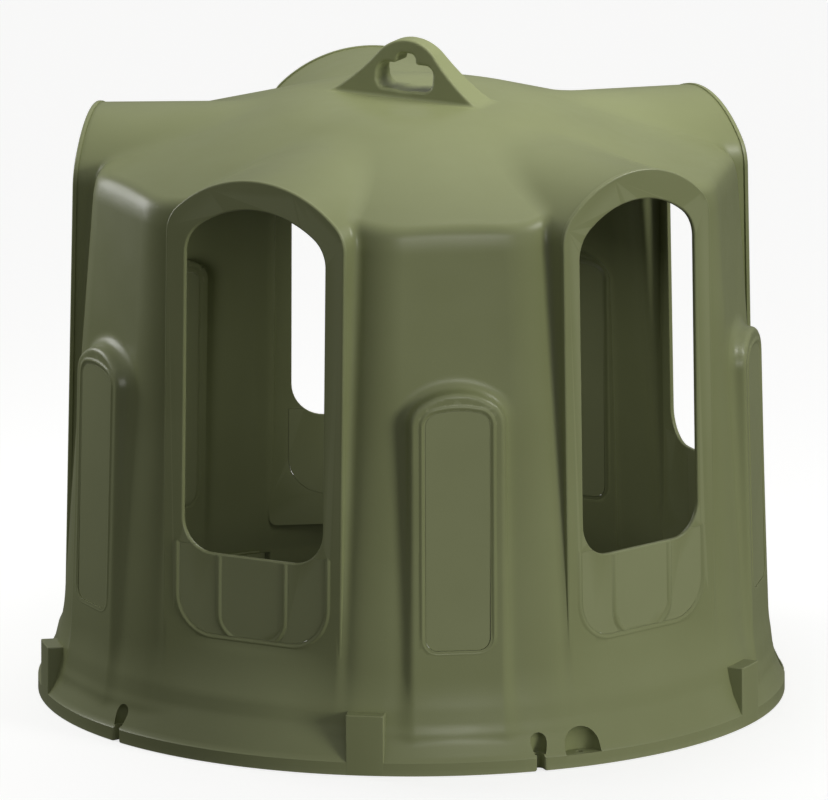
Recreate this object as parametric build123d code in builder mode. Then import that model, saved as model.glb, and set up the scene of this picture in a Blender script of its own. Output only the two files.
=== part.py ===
"""Bell-shaped forage feeder: one thin moulded shell with five arched feeding windows,
a lifting eye on its crown, stacking blocks on its foot and scored cut-out panels.

Units are millimetres. The origin is the centre of the base on the ground, +Z is up, and
the first window faces -Y. Bay angles are counted from -Y towards +X.
"""

import os
from math import atan, cos, radians, sin, sqrt

from build123d import *

# Overall
BAYS = 5
BAY_ANGLE = 360 / BAYS
BASE_R = 950
WALL = 8

# Body: ten flat facets, five behind the windows and five on the columns between them
FACET_REF_Z = 1270
FACET_LOW_Z = 60
FACET_HIGH_Z = 1600
COLUMN_DIST = 818
COLUMN_SLOPE = 0.0634
BAY_DIST = 758
BAY_SLOPE = 0.066
ROUND_LOW_R = 900
ROUND_HIGH_R = 834
ROUND_HIGH_Z = 1400

# Roof
ROOF_SLOPE = 0.30
ROOF_PEAK_Z = 1626
CROWN_R = 241
CROWN_DISH_Z = 1538
SHOULDER_ROUND = 46
SHOULDER_SPAN_Z = (1340, 1430)

# Skirt
LIP_Z = 33
LIP_STEP = 4
FLARE_MID = (908, 119)
FLARE_TOP = (898, 160)
FLARE_INNER = (846, 262)

# Window bays: a flat-faced dormer with an arched hood that runs into the roof
BAY_FACE_R = 852.8
BAY_FACE_SLOPE = 0.0199
BAY_HALF_W = 255
BAY_SPRING_Z = 1327
BAY_APEX_Z = 1483
BAY_CORNER_R = 90
BAY_LOW_Z = 120
HOOD_RISE_DEG = 2.9
HOOD_DEPTH = 420
BAY_EDGE_R = 20

# Window openings
WINDOW_HALF_W = 200
WINDOW_SPRING_Z = 1283
WINDOW_APEX_Z = 1409
WINDOW_CORNER_R = 90
WINDOW_SILL_Z = 515
WINDOW_SILL_R = 85

# Column pads
PAD_FACE_R = 904.2
PAD_FACE_SLOPE = 0.0239
PAD_HALF_W = 122
PAD_SPRING_Z = 890
PAD_APEX_Z = 973
PAD_CORNER_R = 64
PAD_LOW_Z = 120
PAD_DEPTH = 90
PAD_EDGE_R = 12

# Scored cut-out panels and the bead that frames them
HALF_BEAD = 9
BEAD_H = 3
BEAD_TAPER_DEG = 50
PANEL_GAP = 0.5
SIDE_PANEL_HALF_W = 91.5
SIDE_PANEL_SPRING_Z = 889
SIDE_PANEL_APEX_Z = 937
SIDE_PANEL_CORNER_R = 42
SIDE_PANEL_LOW_Z = 302
SIDE_PANEL_LOW_R = 40
BIB_HALF_W = 217
BIB_TOP_Z = 533
BIB_LOW_Z = 298
BIB_CORNER_R = 107
BIB_MIDDLE_HALF_W = 94.5
BIB_MIDDLE_CORNER_R = 64

# Stacking blocks
BLOCK_W = 97
BLOCK_H = 155
BLOCK_ANGLE = 21.3

# Anchor slots: a pocket in the skirt over a narrow slot that leaves through the lip
SLOT_ANGLE = 48.6
SLOT_W = 20
SLOT_INNER_R = 915
SLOT_LEDGE_Z = 61
SLOT_POCKET_R = 22
SLOT_POCKET_CENTRE = 927
SLOT_POCKET_TOP_Z = 94
SLOT_BOSS_TOP_Z = 110

# Bolt-down seats
SEAT_ANGLES = (55.8, 235.8)
SEAT_POCKET_R = 50
SEAT_POCKET_CENTRE = 944
SEAT_HOLE_R = 9
SEAT_HOLE_CENTRE = 922
SEAT_POCKET_TOP_Z = 105
SEAT_BOSS_TOP_Z = 149
POCKET_DOME_FLAT_R = 2

# Lifting eye: a fin that thickens towards its foot
EYE_TOP_HALF_T = 23
EYE_DRAFT = 0.16
EYE_HALF_L = 211
EYE_FOOT_Z = 1534
EYE_TOP_Z = 1690
EYE_LOW_Z = 1500
EYE_LOW_HALF_T = EYE_TOP_HALF_T + EYE_DRAFT * (EYE_TOP_Z - EYE_LOW_Z)
EYE_FOOT_RISE = 0.43
EYE_FLANK = (135, 1590)
EYE_SHOULDER = (82, 1652)
EYE_ROUND = 6
EYE_HOLE_LOW_Z = 1557
EYE_HOLE_HALF_W = 80
EYE_HOLE_LOW_R = 28
EYE_LOBE_Z = 1629
EYE_LOBE_R = 22
EYE_MIDDLE_LOBE_Z = 1654
EYE_MIDDLE_LOBE_HALF_W = 26
EYE_MIDDLE_LOBE_R = 15
EYE_CUSP_R = 9

os.makedirs("parts", exist_ok=True)


def outward(angle):
    """Horizontal unit vector that points out of the feeder at a bay angle."""
    return Vector(sin(radians(angle)), -cos(radians(angle)), 0)


def face_plane(angle, face_r, slope, inset=0):
    """Plane of a drafted flat face: x runs along the face, y up it, and its normal points out."""
    tilt = atan(slope)
    out = outward(angle)
    normal = Vector(out.X * cos(tilt), out.Y * cos(tilt), sin(tilt))
    origin = out * (face_r - inset / cos(tilt))
    return Plane(origin=origin, x_dir=(cos(radians(angle)), sin(radians(angle)), 0), z_dir=normal)


def crown_radius(half_w, rise, corner_r):
    """Radius of the crown arc that is tangent to both corner arcs of a three-centred arch."""
    return (half_w**2 + rise**2 - 2 * half_w * corner_r) / (2 * (rise - corner_r))


def arch(half_w, low, spring, apex, corner_r, low_r=0):
    """Closed three-centred arch with straight sides and, if low_r is given, rounded low corners."""
    rise = apex - spring
    crown_r = crown_radius(half_w, rise, corner_r)
    centre_drop = crown_r - rise
    corner_x = half_w - corner_r
    lean = atan(corner_x / centre_drop)
    join = (corner_x + corner_r * sin(lean), spring + corner_r * cos(lean))
    half_turn = (lean + radians(90)) / 2
    bend = (corner_x + corner_r * sin(half_turn), spring + corner_r * cos(half_turn))
    with BuildSketch() as sketch:
        with BuildLine():
            Polyline((-half_w, spring), (-half_w, low), (half_w, low), (half_w, spring))
            ThreePointArc((half_w, spring), bend, join)
            ThreePointArc(join, (0, apex), (-join[0], join[1]))
            ThreePointArc((-join[0], join[1]), (-bend[0], bend[1]), (-half_w, spring))
        make_face()
        if low_r:
            fillet(sketch.vertices().group_by(Axis.Y)[0], low_r)
    return sketch.sketch


def rounded_base(half_w, low, high, low_r):
    """Rectangle whose two lower corners are rounded."""
    with BuildSketch() as sketch:
        with Locations((0, (low + high) / 2)):
            Rectangle(2 * half_w, high - low)
        fillet(sketch.vertices().group_by(Axis.Y)[0], low_r)
    return sketch.sketch


def facet_points(z, inset):
    """Corners of the ten-sided body section at height z."""
    column = COLUMN_DIST + (FACET_REF_Z - z) * COLUMN_SLOPE - inset
    bay = BAY_DIST + (FACET_REF_Z - z) * BAY_SLOPE - inset
    half = BAY_ANGLE / 2
    side = (bay - column * cos(radians(half))) / sin(radians(half))
    points = []
    for i in range(BAYS):
        for t in (-side, side):
            angle = radians(half + BAY_ANGLE * i)
            points.append((column * sin(angle) + t * cos(angle), -column * cos(angle) + t * sin(angle)))
    return points


def body_form(inset):
    """Closed body under the roof: the faceted wall trimmed by a round envelope and the roof cone."""
    roof_z = ROOF_PEAK_Z - inset * sqrt(1 + ROOF_SLOPE**2)
    high_r = ROUND_HIGH_R - inset
    with BuildPart() as form:
        for z in (FACET_LOW_Z, FACET_HIGH_Z):
            with BuildSketch(Plane.XY.offset(z)):
                with BuildLine():
                    Polyline(*facet_points(z, inset), close=True)
                make_face()
        loft(ruled=True)
        with BuildSketch(Plane.XZ):
            with BuildLine():
                Polyline(
                    (0, 0),
                    (ROUND_LOW_R - inset, 0),
                    (ROUND_LOW_R - inset, FLARE_TOP[1]),
                    (high_r, ROUND_HIGH_Z),
                    (high_r, roof_z - ROOF_SLOPE * high_r),
                    (CROWN_R, roof_z - ROOF_SLOPE * CROWN_R),
                    (0, CROWN_DISH_Z - inset),
                    close=True,
                )
            make_face()
        revolve(axis=Axis.Z, mode=Mode.INTERSECT)
        shoulder = form.edges().filter_by_position(Axis.Z, *SHOULDER_SPAN_Z)
        fillet(shoulder, SHOULDER_ROUND - inset)
    return form.part


def skirt_form(inset):
    """Closed flared skirt with its upright lip."""
    with BuildPart() as form:
        with BuildSketch(Plane.XZ):
            with BuildLine():
                Polyline(
                    (0, 0),
                    (BASE_R - inset, 0),
                    (BASE_R - inset, LIP_Z - inset / 2),
                    (BASE_R - LIP_STEP - inset, LIP_Z + LIP_STEP - inset / 2),
                    (FLARE_MID[0] - inset, FLARE_MID[1]),
                    (FLARE_TOP[0] - inset, FLARE_TOP[1]),
                    (FLARE_INNER[0] - inset, FLARE_INNER[1]),
                    (0, FLARE_INNER[1]),
                    close=True,
                )
            make_face()
        revolve(axis=Axis.Z)
    return form.part


def bay_form(angle, inset):
    """Arched dormer that carries one window, with its hood running into the roof."""
    rise = radians(HOOD_RISE_DEG)
    out = outward(angle)
    inward = Vector(-out.X * cos(rise), -out.Y * cos(rise), sin(rise))
    outline = arch(
        BAY_HALF_W - inset, BAY_LOW_Z, BAY_SPRING_Z, BAY_APEX_Z - inset, BAY_CORNER_R - inset
    )
    with BuildPart() as form:
        with BuildSketch(face_plane(angle, BAY_FACE_R, BAY_FACE_SLOPE, inset)):
            add(outline)
        extrude(amount=HOOD_DEPTH, dir=inward)
        face_edges = form.faces().sort_by(Axis(origin=(0, 0, 0), direction=out))[-1].edges()
        fillet(face_edges, BAY_EDGE_R - inset)
    return form.part


def pad_form(angle, inset):
    """Flat arch-topped pad on a column."""
    outline = arch(
        PAD_HALF_W - inset, PAD_LOW_Z, PAD_SPRING_Z, PAD_APEX_Z - inset, PAD_CORNER_R - inset
    )
    with BuildPart() as form:
        with BuildSketch(face_plane(angle, PAD_FACE_R, PAD_FACE_SLOPE, inset)):
            add(outline)
        extrude(amount=PAD_DEPTH, dir=-outward(angle))
        face_edges = form.faces().sort_by(Axis(origin=(0, 0, 0), direction=outward(angle)))[-1].edges()
        fillet(face_edges, PAD_EDGE_R - inset)
    return form.part


def feeder_form(inset):
    """The whole closed bell, drawn in by inset on every side."""
    with BuildPart() as form:
        add(body_form(inset))
        add(skirt_form(inset))
        for i in range(BAYS):
            add(bay_form(BAY_ANGLE * i, inset))
            add(pad_form(BAY_ANGLE * (i + 0.5), inset))
    return form.part


outer_form = feeder_form(0)
inner_form = feeder_form(WALL)


def bay_plane(bay):
    """Plane of a window bay's outer face."""
    return face_plane(BAY_ANGLE * bay, BAY_FACE_R, BAY_FACE_SLOPE)


def pad_plane(bay):
    """Plane of the outer face of the pad that follows a window bay."""
    return face_plane(BAY_ANGLE * (bay + 0.5), PAD_FACE_R, PAD_FACE_SLOPE)


def window_outline():
    """Arched window with rounded lower corners."""
    return arch(
        WINDOW_HALF_W, WINDOW_SILL_Z, WINDOW_SPRING_Z, WINDOW_APEX_Z, WINDOW_CORNER_R, WINDOW_SILL_R
    )


def side_panel_outline(shift):
    """Outline of a column's cut-out panel, moved out from its bead's centre line by shift."""
    return arch(
        SIDE_PANEL_HALF_W + shift,
        SIDE_PANEL_LOW_Z - shift,
        SIDE_PANEL_SPRING_Z,
        SIDE_PANEL_APEX_Z + shift,
        SIDE_PANEL_CORNER_R + shift,
        SIDE_PANEL_LOW_R + shift,
    )


def bib_outline(shift, top=BIB_TOP_Z):
    """Outline of the three sill panels together, moved out from its bead's centre line by shift."""
    return rounded_base(BIB_HALF_W + shift, BIB_LOW_Z - shift, top, BIB_CORNER_R + shift)


def bib_middle_outline(shift, top=BIB_TOP_Z):
    """Outline of the middle sill panel, moved out from its bead's centre line by shift."""
    return rounded_base(
        BIB_MIDDLE_HALF_W + shift, BIB_LOW_Z - shift, top, BIB_MIDDLE_CORNER_R + shift
    )


# Outlines shared by the shell and its panels: a panel ends at the inner foot of its bead
with BuildSketch() as bib_opening:
    add(bib_outline(-HALF_BEAD))
    add(window_outline(), mode=Mode.SUBTRACT)

with BuildSketch() as bib_bead:
    add(bib_outline(HALF_BEAD))
    add(bib_outline(-HALF_BEAD), mode=Mode.SUBTRACT)

with BuildSketch() as side_panel_bead:
    add(side_panel_outline(HALF_BEAD))
    add(side_panel_outline(-HALF_BEAD), mode=Mode.SUBTRACT)

with BuildSketch() as middle_panel_plate:
    add(bib_middle_outline(HALF_BEAD, WINDOW_SILL_Z))
    add(bib_outline(-HALF_BEAD - PANEL_GAP), mode=Mode.INTERSECT)

with BuildSketch() as middle_panel_bead:
    add(middle_panel_plate.sketch)
    add(bib_middle_outline(-HALF_BEAD), mode=Mode.SUBTRACT)

with BuildSketch() as outer_panel_plates:
    add(bib_outline(-HALF_BEAD - PANEL_GAP, BIB_TOP_Z - PANEL_GAP))
    add(window_outline(), mode=Mode.SUBTRACT)
    add(bib_middle_outline(HALF_BEAD + PANEL_GAP), mode=Mode.SUBTRACT)


def raised_bead(plane, outline):
    """Low bead with sloping flanks that stands on a face."""
    with BuildPart() as bead:
        with BuildSketch(plane):
            add(outline)
        extrude(amount=BEAD_H, taper=BEAD_TAPER_DEG)
    return bead.part


def cylinder_at(angle, centre_r, radius, low, high):
    """Upright cylinder at a bay angle."""
    with BuildPart() as post:
        with BuildSketch(Plane.XY.offset(low)):
            with Locations(outward(angle) * centre_r):
                Circle(radius)
        extrude(amount=high - low)
    return post.part


def domed_pocket(angle, centre_r, radius, low, high):
    """Upright round pocket with a domed top at a bay angle."""
    with BuildPart() as pocket:
        add(cylinder_at(angle, centre_r, radius, low, high))
        fillet(pocket.edges().group_by(Axis.Z)[-1], radius - POCKET_DOME_FLAT_R)
    return pocket.part


def radial_box(angle, width, inner_r, outer_r, low, high):
    """Upright box that runs along a radius, centred on a bay angle."""
    with BuildPart() as box:
        with BuildSketch(Plane(origin=(0, 0, low), x_dir=outward(angle), z_dir=(0, 0, 1))):
            with Locations(((inner_r + outer_r) / 2, 0)):
                Rectangle(outer_r - inner_r, width)
        extrude(amount=high - low)
    return box.part


def foot_boss(angle, centre_r, radius, low, high):
    """Round boss behind the skirt that keeps the wall closed around a pocket."""
    with BuildPart() as boss:
        add(cylinder_at(angle, centre_r, radius, low, high))
        add(outer_form, mode=Mode.INTERSECT)
    return boss.part


# Shell: the one hollow moulding
with BuildPart() as shell:
    add(outer_form)
    add(inner_form, mode=Mode.SUBTRACT)
    for i in range(BAYS):
        with BuildSketch(bay_plane(i)):
            add(window_outline())
            add(bib_opening.sketch)
        extrude(amount=3 * WALL, both=True, mode=Mode.SUBTRACT)
        with BuildSketch(pad_plane(i)):
            add(side_panel_outline(-HALF_BEAD))
        extrude(amount=3 * WALL, both=True, mode=Mode.SUBTRACT)
        add(raised_bead(bay_plane(i), bib_bead.sketch))
        add(raised_bead(pad_plane(i), side_panel_bead.sketch))
        slot_angle = SLOT_ANGLE + BAY_ANGLE * i
        add(foot_boss(slot_angle, SLOT_POCKET_CENTRE, SLOT_POCKET_R + WALL, 0, SLOT_BOSS_TOP_Z))
        add(
            domed_pocket(slot_angle, SLOT_POCKET_CENTRE, SLOT_POCKET_R, SLOT_LEDGE_Z, SLOT_POCKET_TOP_Z),
            mode=Mode.SUBTRACT,
        )
        add(
            radial_box(slot_angle, SLOT_W, SLOT_INNER_R, BASE_R + WALL, -WALL, SLOT_LEDGE_Z),
            mode=Mode.SUBTRACT,
        )
    for angle in SEAT_ANGLES:
        add(foot_boss(angle, SEAT_POCKET_CENTRE, SEAT_POCKET_R + WALL, LIP_Z - WALL, SEAT_BOSS_TOP_Z))
        add(
            domed_pocket(angle, SEAT_POCKET_CENTRE, SEAT_POCKET_R, LIP_Z, SEAT_POCKET_TOP_Z),
            mode=Mode.SUBTRACT,
        )
        add(cylinder_at(angle, SEAT_HOLE_CENTRE, SEAT_HOLE_R, 0, LIP_Z), mode=Mode.SUBTRACT)
shell.part.label = "shell"
export_step(shell.part, "parts/shell.step")


# Lifting eye: an arched fin on the crown with a three-lobed hole
with BuildSketch() as eye_outline:
    with BuildLine():
        foot_right = (EYE_HALF_L, EYE_FOOT_Z)
        foot_left = (-EYE_HALF_L, EYE_FOOT_Z)
        Line((-EYE_HALF_L, EYE_LOW_Z), (EYE_HALF_L, EYE_LOW_Z))
        Line((EYE_HALF_L, EYE_LOW_Z), foot_right)
        Line(foot_left, (-EYE_HALF_L, EYE_LOW_Z))
        flank_left = (-EYE_FLANK[0], EYE_FLANK[1])
        shoulder_left = (-EYE_SHOULDER[0], EYE_SHOULDER[1])
        TangentArc(foot_right, EYE_FLANK, tangent=(-1, EYE_FOOT_RISE))
        TangentArc(foot_left, flank_left, tangent=(1, EYE_FOOT_RISE))
        Line(EYE_FLANK, EYE_SHOULDER)
        Line(flank_left, shoulder_left)
        ThreePointArc(EYE_SHOULDER, (0, EYE_TOP_Z), shoulder_left)
    make_face()

with BuildSketch() as eye_hole_outline:
    with Locations((0, (EYE_HOLE_LOW_Z + EYE_LOBE_Z) / 2)):
        Rectangle(2 * EYE_HOLE_HALF_W, EYE_LOBE_Z - EYE_HOLE_LOW_Z)
    fillet(eye_hole_outline.vertices().group_by(Axis.Y)[0], EYE_HOLE_LOW_R)
    fillet(eye_hole_outline.vertices().group_by(Axis.Y)[-1], EYE_LOBE_R)
    with Locations((0, (EYE_HOLE_LOW_Z + EYE_MIDDLE_LOBE_Z) / 2)):
        Rectangle(2 * EYE_MIDDLE_LOBE_HALF_W, EYE_MIDDLE_LOBE_Z - EYE_HOLE_LOW_Z)
    fillet(eye_hole_outline.vertices().group_by(Axis.Y)[-1], EYE_MIDDLE_LOBE_R)
    cusps = eye_hole_outline.vertices().filter_by_position(Axis.Y, EYE_LOBE_Z - 1, EYE_LOBE_Z + 1)
    fillet(cusps.sort_by(lambda vertex: abs(vertex.X))[0:2], EYE_CUSP_R)

with BuildPart() as lifting_eye:
    with BuildSketch(Plane.XZ):
        add(eye_outline.sketch)
    extrude(amount=EYE_LOW_HALF_T, both=True)
    with BuildSketch(Plane.YZ):
        with BuildLine():
            Polyline(
                (-EYE_LOW_HALF_T, EYE_LOW_Z),
                (EYE_LOW_HALF_T, EYE_LOW_Z),
                (EYE_TOP_HALF_T, EYE_TOP_Z),
                (-EYE_TOP_HALF_T, EYE_TOP_Z),
                close=True,
            )
        make_face()
    extrude(amount=EYE_HALF_L, both=True, mode=Mode.INTERSECT)
    with BuildSketch(Plane.XZ):
        add(eye_hole_outline.sketch)
    extrude(amount=EYE_LOW_HALF_T, both=True, mode=Mode.SUBTRACT)
    face_edges = lifting_eye.edges().filter_by_position(Axis.Z, EYE_FOOT_Z, EYE_TOP_Z + EYE_ROUND)
    fillet(face_edges.filter_by(Axis.Y, reverse=True), EYE_ROUND)
    add(outer_form, mode=Mode.SUBTRACT)
lifting_eye.part.label = "lifting_eye"
export_step(lifting_eye.part, "parts/lifting_eye.step")


# Stacking blocks: upright wedges on the skirt, flush with the lip
for i in range(BAYS):
    with BuildPart() as stacking_block:
        add(cylinder_at(0, 0, BASE_R, LIP_Z, BLOCK_H))
        add(
            radial_box(BLOCK_ANGLE + BAY_ANGLE * i, BLOCK_W, FLARE_INNER[0], BASE_R + WALL, 0, BLOCK_H),
            mode=Mode.INTERSECT,
        )
        add(outer_form, mode=Mode.SUBTRACT)
    stacking_block.part.label = f"stacking_block_{i + 1}"
    export_step(stacking_block.part, f"parts/stacking_block_{i + 1}.step")


def cut_out_panel(plane, plate, bead):
    """Flat cut-out panel as thick as the wall, with its share of the bead if it has one."""
    with BuildPart() as panel:
        with BuildSketch(plane):
            add(plate)
        extrude(amount=-WALL)
        if bead is not None:
            add(raised_bead(plane, bead))
    return panel.part


with BuildSketch() as side_panel_plate:
    add(side_panel_outline(-HALF_BEAD - PANEL_GAP))

outer_plates = outer_panel_plates.faces().sort_by(Axis.X)

for i in range(BAYS):
    panels = {
        "side_panel": cut_out_panel(pad_plane(i), side_panel_plate.sketch, None),
        "sill_panel_left": cut_out_panel(bay_plane(i), outer_plates[0], None),
        "sill_panel_middle": cut_out_panel(
            bay_plane(i), middle_panel_plate.sketch, middle_panel_bead.sketch
        ),
        "sill_panel_right": cut_out_panel(bay_plane(i), outer_plates[-1], None),
    }
    for name, panel in panels.items():
        panel.label = f"{name}_{i + 1}"
        export_step(panel, f"parts/{name}_{i + 1}.step")
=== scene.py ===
"""Looks of the bell-shaped forage feeder.

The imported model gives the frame: every panel, block and the lifting eye stands where its CAD node
stands. The shell is one smooth moulding, drawn here from a distance field, so that its hoods, columns
and skirt melt into each other as they do on a rotational moulding.

Lengths are metres, +Z is up, the first window faces -Y and bay angles run from -Y towards +X.
"""

import math

import bmesh
import bpy
import numpy as np
from mathutils import Matrix, Vector


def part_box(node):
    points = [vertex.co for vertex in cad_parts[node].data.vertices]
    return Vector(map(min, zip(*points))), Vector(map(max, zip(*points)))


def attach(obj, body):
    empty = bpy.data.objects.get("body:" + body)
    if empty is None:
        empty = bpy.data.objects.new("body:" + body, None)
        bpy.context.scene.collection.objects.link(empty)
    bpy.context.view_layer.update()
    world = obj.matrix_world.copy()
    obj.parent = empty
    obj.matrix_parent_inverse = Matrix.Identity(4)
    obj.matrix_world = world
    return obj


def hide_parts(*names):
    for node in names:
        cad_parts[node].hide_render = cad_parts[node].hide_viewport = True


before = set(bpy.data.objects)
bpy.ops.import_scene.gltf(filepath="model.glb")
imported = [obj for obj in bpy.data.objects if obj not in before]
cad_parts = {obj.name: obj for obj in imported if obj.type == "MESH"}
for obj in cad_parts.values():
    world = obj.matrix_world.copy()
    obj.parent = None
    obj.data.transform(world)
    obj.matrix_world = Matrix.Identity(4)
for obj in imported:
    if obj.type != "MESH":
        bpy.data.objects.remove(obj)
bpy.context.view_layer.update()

# ---------------------------------------------------------------------------------------------
# Driving dimensions
# ---------------------------------------------------------------------------------------------
BAYS = 5
BAY_ANGLE = 2 * math.pi / BAYS
HALF_BAY = BAY_ANGLE / 2
BAY_TURN_DEG = 360 / BAYS
WALL = 0.008

shell_low, shell_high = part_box("shell")
BASE_R = (shell_high[0] - shell_low[0]) / 2

FACET_REF_Z = 1.270
COLUMN_DIST, COLUMN_SLOPE = 0.818, 0.0634
BAY_DIST, BAY_SLOPE = 0.768, 0.074
FACET_BLEND = 0.031
ROUND_LOW_R, ROUND_LOW_Z = 0.900, 0.160
ROUND_SLOPE = 0.0532
ROUND_BLEND = 0.010

ROOF_PEAK_Z, ROOF_SLOPE = 1.626, 0.30
CROWN_Z, CROWN_BLEND = 1.541, 0.024
SHOULDER_BLEND = 0.022
SHOULDER_BEND, SHOULDER_LOW_Z = 2.57, 1.317

FACE_R, FACE_SLOPE = 0.8528, 0.0199
HOOD_SINK = 0.004
HOOD_HALF_W, HOOD_SPRING_Z, HOOD_APEX_Z, HOOD_CORNER_R = 0.253, 1.327, 1.482, 0.090
HOOD_RISE = 0.05
HOOD_EDGE_R = 0.010
HOOD_BLEND_ROOF, HOOD_BLEND_WALL = 0.017, 0.026
HOOD_BLEND_LOW_Z, HOOD_BLEND_HIGH_Z = 1.25, 1.45

RIM = {"half": 0.257, "low": 0.225, "spring": HOOD_SPRING_Z, "apex": 1.486, "corner": 0.094, "low_r": 0.020}
RIM_DEPTH, RIM_EDGE_R = 0.011, 0.005

WINDOW = {"half": 0.200, "low": 0.515, "spring": 1.283, "apex": 1.409, "corner": 0.090, "low_r": 0.085}
WINDOW_EDGE_R, WINDOW_BACK_R = 0.0055, 0.0025

PAD_FACE_R, PAD_FACE_SLOPE = 0.9042, 0.0239
PAD_HALF_W, PAD_SPRING_Z, PAD_APEX_Z, PAD_CORNER_R = 0.122, 0.890, 0.973, 0.064
PAD_EDGE_R, PAD_BLEND = 0.012, 0.036

SIDE_PANEL = {"half": 0.0915, "low": 0.302, "spring": 0.889, "apex": 0.937, "corner": 0.042, "low_r": 0.040}
BIB_HALF_W, BIB_LOW_Z, BIB_TOP_Z, BIB_CORNER_R = 0.217, 0.298, 0.533, 0.107
MIDDLE_HALF_W, MIDDLE_CORNER_R = 0.0945, 0.064
BEAD_HALF_W, BEAD_H, BEAD_END = 0.009, 0.0030, 0.010
GAP = 0.0005

LIP_Z = 0.033
LIP_STEP = 0.004
SKIRT_POINTS = [(0.0, -0.02), (BASE_R, -0.02), (BASE_R, LIP_Z), (BASE_R - LIP_STEP, LIP_Z + LIP_STEP),
                (0.908, 0.119), (0.898, 0.160), (0.846, 0.262), (0.0, 0.262)]
SKIRT_BLEND = 0.040
SKIRT_FADE_LOW_Z, SKIRT_FADE_Z, SKIRT_FADE_LEAST = 0.050, 0.050, 0.02

SLOT_ANGLE, SLOT_W, SLOT_INNER_R, SLOT_LEDGE_Z = 48.6, 0.020, 0.915, 0.061
SLOT_FOOT_FLARE, SLOT_EDGE_R = 0.003, 0.005
SLOT_POCKET_R, SLOT_POCKET_CENTRE = 0.022, 0.927
SLOT_POCKET_LOW_Z, SLOT_POCKET_TOP_Z, SLOT_BOSS_TOP_Z = 0.040, 0.094, 0.110
SEAT_ANGLES = (55.8, 235.8)
SEAT_POCKET_R, SEAT_POCKET_CENTRE, SEAT_POCKET_TOP_Z, SEAT_BOSS_TOP_Z = 0.050, 0.944, 0.105, 0.149
SEAT_HOLE_R, SEAT_HOLE_CENTRE = 0.009, 0.922

BLOCK_ANGLE, BLOCK_HALF_W, BLOCK_TOP_Z = 21.3, 0.0485, 0.155
BLOCK_PROUD, BLOCK_SINK, BLOCK_EDGE_R = 0.0002, 0.004, 0.0025

EYE_TOP_Z, EYE_TOP_HALF_T, EYE_DRAFT = 1.690, 0.023, 0.16
EYE_CAP_R, EYE_CAP_TURN_DEG = 0.1075, 49.7
EYE_FOOT_X, EYE_FOOT_Z, EYE_FOOT_SLOPE_DEG, EYE_FOOT_BLEND = 0.211, 1.534, 23.3, 0.060
EYE_EDGE_R, EYE_HOLE_EDGE_R, EYE_ROOF_BLEND = 0.006, 0.007, 0.010
EYE_HOLE_HALF_W, EYE_HOLE_LOW_Z, EYE_LOBE_Z, EYE_LOBE_R = 0.080, 1.563, 1.629, 0.025
EYE_MIDDLE_LOBE_HALF_W, EYE_MIDDLE_LOBE_Z, EYE_MIDDLE_LOBE_R = 0.026, 1.655, 0.016
EYE_CUSP_BLEND, EYE_SINK, EYE_COVER = 0.011, 0.00015, 0.003
EYE_HALF_L, EYE_CELL = 0.266, 0.0035
EYE_GRID_LOW, EYE_GRID_HIGH = (-0.29, -0.10, 1.525), (0.29, 0.10, 1.70)
FIT_ROUNDS, FIT_LEAST_SLOPE = 5, 0.5

# Rays that meet the shell's surface. A stop is (end, step): degrees for angles and elevations, metres for
# heights, with closer steps at the sides of the hoods and pads, over the shoulder and down the skirt
RAY_CENTRE_Z = 0.62
RAY_START, RAY_ROUNDS, RAY_STEP = 0.55, 90, 0.9
COLUMN_STOPS = [(0, 0), (15.5, 0.6), (20.5, 0.22), (26.5, 0.6), (29.5, 0.2), (36, 0.65)]
ROOF_STOPS = [(88.5, 0), (68, 1.1), (50, 0.45), (38, 0.3)]
WALL_STOPS = [(1.27, 0), (1.01, 0.010), (0.86, 0.006), (0.30, 0.012), (0.16, 0.009)]
FLARE_TOP_Z, FLARE_STEP, FLARE_R, FLARE_SLOPE = 0.150, 0.008, 0.950, 0.45
WALL_R, WALL_TOP_Z, ROW_CLEARANCE = 0.845, 1.25, 0.2

# Cutters and panels
CUT_DEPTH = 0.030
BAY_WALL = WALL + HOOD_SINK
PAD_TURN_DEG = BAY_TURN_DEG / 2
PANEL_EDGE_R = 0.0008

# Faces of one plane that together pass this area, in square metres, count as flat when they are shaded
FLAT_AREA = 0.002
FLAT_KEY = np.array([400, 400, 400, 4000])

# ---------------------------------------------------------------------------------------------
# Distance fields: negative inside the moulding, with arrays in and out
# ---------------------------------------------------------------------------------------------
def soft_min(a, b, k):
    """Smaller of two fields, with the crease between them filled over a width of k."""
    h = np.clip(k - np.abs(a - b), 0, None) / k
    return np.minimum(a, b) - h * h * k / 4


def soft_max(a, b, k):
    """Larger of two fields, with the ridge between them rounded over a width of k."""
    return -soft_min(-a, -b, k)


def round_max(a, b, r):
    """Larger of two fields whose edge is rounded to a radius of r."""
    return np.minimum(np.maximum(a, b), -r) + np.hypot(np.clip(a + r, 0, None), np.clip(b + r, 0, None))


def arch_field(t, z, half, spring, apex, corner):
    """Distance to a three-centred arch on endless legs, for t >= 0."""
    rise = apex - spring
    crown_r = (half**2 + rise**2 - 2 * half * corner) / (2 * (rise - corner))
    crown_z = apex - crown_r
    corner_t = half - corner
    lean = math.atan2(corner_t, spring - crown_z)
    on_crown = np.arctan2(t, z - crown_z) < lean
    crown = np.hypot(t, z - crown_z) - crown_r
    bend = np.hypot(t - corner_t, z - spring) - corner
    return np.where(z <= spring, t - half, np.where(on_crown, crown, bend))


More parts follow.
